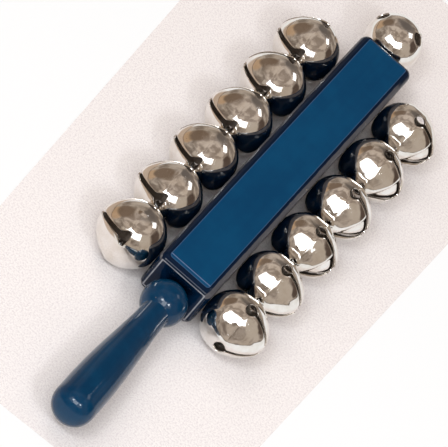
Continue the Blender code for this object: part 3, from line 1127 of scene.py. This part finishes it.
# %% The table
PAPER_THICKNESS = 0.2 * MM
TABLE_REACH = 9.0
TABLE_SIDES = 32
LIFTED = 0.8  # share of plain white in what a lifted ray sees


def table_finish():
    material, graph, shader = new_finish("Table")
    shader.inputs["Base Color"].default_value = colour(0.86, 0.86, 0.86)
    shader.inputs["Roughness"].default_value = 0.9
    shader.inputs["Specular IOR Level"].default_value = 0.1
    place = graph.place()
    grain = graph.noise(graph.stretch(place, (3, 40, 1)), 1.0, 3.0, 0.6)
    beside = 1 - (graph.part(place, 0) + grain * 0.004).rise(-0.068, -0.050)
    spread = (graph.part(place, 1) + 0.02).size() + graph.part(place, 0) * 0.9
    beside = beside * (1 - spread.rise(0.01, 0.05))
    in_metal = graph.add("ShaderNodeLightPath", output="Is Glossy Ray")
    white = graph.add("ShaderNodeEmission")
    board = graph.add("ShaderNodeEmission", None, {"Color": colour(0.46, 0.31, 0.20)})
    shown = graph.add("ShaderNodeMixShader", None, {0: beside * in_metal, 1: white, 2: board})
    seen = graph.add("ShaderNodeLightPath", output="Is Camera Ray") + in_metal
    seen = seen + graph.add("ShaderNodeLightPath", output="Is Transmission Ray")
    lit = Socket(graph, shader.outputs[0])
    both = graph.add("ShaderNodeMixShader", None, {0: seen.least(1) * LIFTED, 1: lit, 2: shown})
    graph.feed(material.node_tree.nodes["Material Output"].inputs["Surface"], both)
    return material


turns = [4 * QUARTER * side / TABLE_SIDES for side in range(TABLE_SIDES)]
around = [(TABLE_REACH * math.cos(turn), -TABLE_REACH * math.sin(turn)) for turn in turns]
flat_piece("table", around, -PAPER_THICKNESS, table_finish())

# %% [markdown]
# ## The room that the metal shows
#
# Plated metal is only as good as what stands round it. The photo's bells show a beige room with
# brown patches, a dark line where the table ends, and the pale light panels. The world colour is
# worked out from the direction alone: its height gives the dark line and the mottled ceiling, and
# each soft round patch is found by how closely the direction points at its middle. The ceiling's
# noise is moved off its own centre, where it would draw a straight line.

# %% The room
def direction(azimuth, elevation):
    """Azimuth from +Y towards +X and elevation above the table, in degrees."""
    turn, rise = math.radians(azimuth), math.radians(elevation)
    level = math.cos(rise)
    return Vector((math.sin(turn) * level, math.cos(turn) * level, math.sin(rise)))


world = bpy.data.worlds.new("Room")
bpy.context.scene.world = world
world.use_nodes = True
room = Graph(world.node_tree)
looking = room.add("ShaderNodeTexCoord", output="Generated")
height = room.part(looking, 2)


def patch(azimuth, elevation, size, softness):
    """1 within size degrees of the given direction, fading to 0 over softness degrees."""
    towards = room.add(
        "ShaderNodeVectorMath", {"operation": "DOT_PRODUCT"},
        {0: looking, 1: direction(azimuth, elevation)}, "Value",
    )
    outer = math.cos(math.radians(size + softness))
    return towards.rise(outer, math.cos(math.radians(size)))


blotches = room.noise(looking, 3.1, 3.0).rise(0.38, 0.62)
walls = room.mix(blotches, colour(0.20, 0.155, 0.125), colour(0.50, 0.42, 0.35))
off_centre = room.add(
    "ShaderNodeVectorMath", {"operation": "ADD"}, {0: looking, 1: Vector((0.37, 0.21, 0.13))}
)
mottled = room.noise(off_centre, 4.2, 2.0, 0.5).rise(0.36, 0.62)
ceiling = room.mix(mottled, colour(0.31, 0.245, 0.20), colour(0.60, 0.50, 0.42))
walls = room.mix(height.rise(0.52, 0.72), walls, ceiling)
for azimuth, elevation, size, softness, tint in (
    (72, 22, 13, 8, colour(0.10, 0.07, 0.055)),
    (-78, 12, 12, 8, colour(0.50, 0.34, 0.215)),
    (-66, 30, 11, 9, colour(0.20, 0.14, 0.10)),
    (108, 32, 15, 9, colour(0.50, 0.42, 0.345)),
    (-3, 44, 10, 22, colour(0.15, 0.125, 0.11)),
):
    walls = room.mix(patch(azimuth, elevation, size, softness), walls, tint)
walls = room.mix(1 - height.rise(0.00, 0.05), walls, colour(0.17, 0.14, 0.12))
room.feed(world.node_tree.nodes["Background"].inputs["Color"], walls)
print("room nodes:", len(world.node_tree.nodes))

# %% [markdown]
# The stick is lit by a row of three pale panels behind the camera, of which the middle one is much
# the brightest, with a small bright lamp in front of either end of the row, and by a small weak
# panel on the far right. They are area lamps, which the metal mirrors as clean white shapes. A
# wide soft lamp on the left only fills the shadows: the metal doesn't show it.

# %% The lamps
def add_lamp(name, azimuth, elevation, distance, width, tall, power, tint):
    lamp = bpy.data.lights.new(name, "AREA")
    lamp.shape = "RECTANGLE"
    lamp.size = width
    lamp.size_y = tall
    lamp.energy = power
    lamp.color = tint
    holder = bpy.data.objects.new(name, lamp)
    bpy.context.scene.collection.objects.link(holder)
    holder.location = direction(azimuth, elevation) * distance
    holder.rotation_euler = holder.location.to_track_quat("Z", "Y").to_euler()
    holder.visible_camera = False
    return holder


COOL = (0.92, 0.96, 1.0)
NEUTRAL = (1.0, 0.98, 0.96)
add_lamp("left_panel", -153, 46, 1.9, 0.95, 0.86, 4.2, COOL)
add_lamp("middle_panel", 176, 47, 1.9, 0.72, 0.62, 12.0, COOL)
add_lamp("right_panel", 146, 45, 1.9, 0.90, 0.80, 3.6, COOL)
add_lamp("left_lamp", -158, 50, 1.5, 0.24, 0.24, 4.4, COOL)
add_lamp("right_lamp", 142, 47, 1.5, 0.18, 0.18, 3.4, COOL)
add_lamp("far_panel", 40, 49, 1.5, 0.42, 0.36, 0.9, COOL)
soft_fill = add_lamp("soft_fill", -70, 58, 1.6, 1.10, 1.10, 5.9, NEUTRAL)
soft_fill.visible_glossy = False
print("lamps:", len(bpy.data.lights))

# %% [markdown]
# ## The camera
#
# The photo was taken from the handle's side with a long lens, looking down by about 44 degrees,
# and the picture was then turned so that the stick runs from corner to corner.

# %% The camera
AIM = Vector((-2.94, 0.62, 2.87)) * MM
ELEVATION = 44.106
AZIMUTH = 178.341
DISTANCE = 1.6494
PICTURE_TURN = math.radians(40.262)
LENS = 380.96
SENSOR_WIDTH = 36

back = direction(AZIMUTH, ELEVATION)
level = Vector((0, 0, 1)).cross(back).normalized()
upward = back.cross(level)
right = level * math.cos(PICTURE_TURN) + upward * math.sin(PICTURE_TURN)
up = back.cross(right)
camera_data = bpy.data.cameras.new("camera")
camera_data.sensor_width = SENSOR_WIDTH
camera_data.lens = LENS
camera = bpy.data.objects.new("camera", camera_data)
bpy.context.scene.collection.objects.link(camera)
place = AIM + back * DISTANCE
camera.matrix_world = Matrix.Translation(place) @ Matrix((right, up, back)).transposed().to_4x4()
bpy.context.scene.camera = camera
bpy.context.scene.view_settings.view_transform = "Standard"
print("camera at, m:", [round(value, 3) for value in place])

# %% [markdown]
# ## Ending
#
# No piece should reach outside the CAD piece that it stands for by more than the thin air over
# that piece's coarser facets, so the most that each one does is printed.

# %% Sizes and the last check
def reach_outside(piece, node):
    """How far the finished piece reaches outside the box of its CAD node."""
    shaped = piece.evaluated_get(bpy.context.evaluated_depsgraph_get())
    corners = [piece.matrix_world @ vertex.co for vertex in shaped.to_mesh().vertices]
    shaped.to_mesh_clear()
    node_low, node_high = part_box(node)
    below = max(node_low[axis] - min(c[axis] for c in corners) for axis in range(3))
    above = max(max(c[axis] for c in corners) - node_high[axis] for axis in range(3))
    return max(below, above)


for node, piece in stand_ins.items():
    print(piece.name, "reaches outside by, mm:", round(1000 * reach_outside(piece, node), 3))
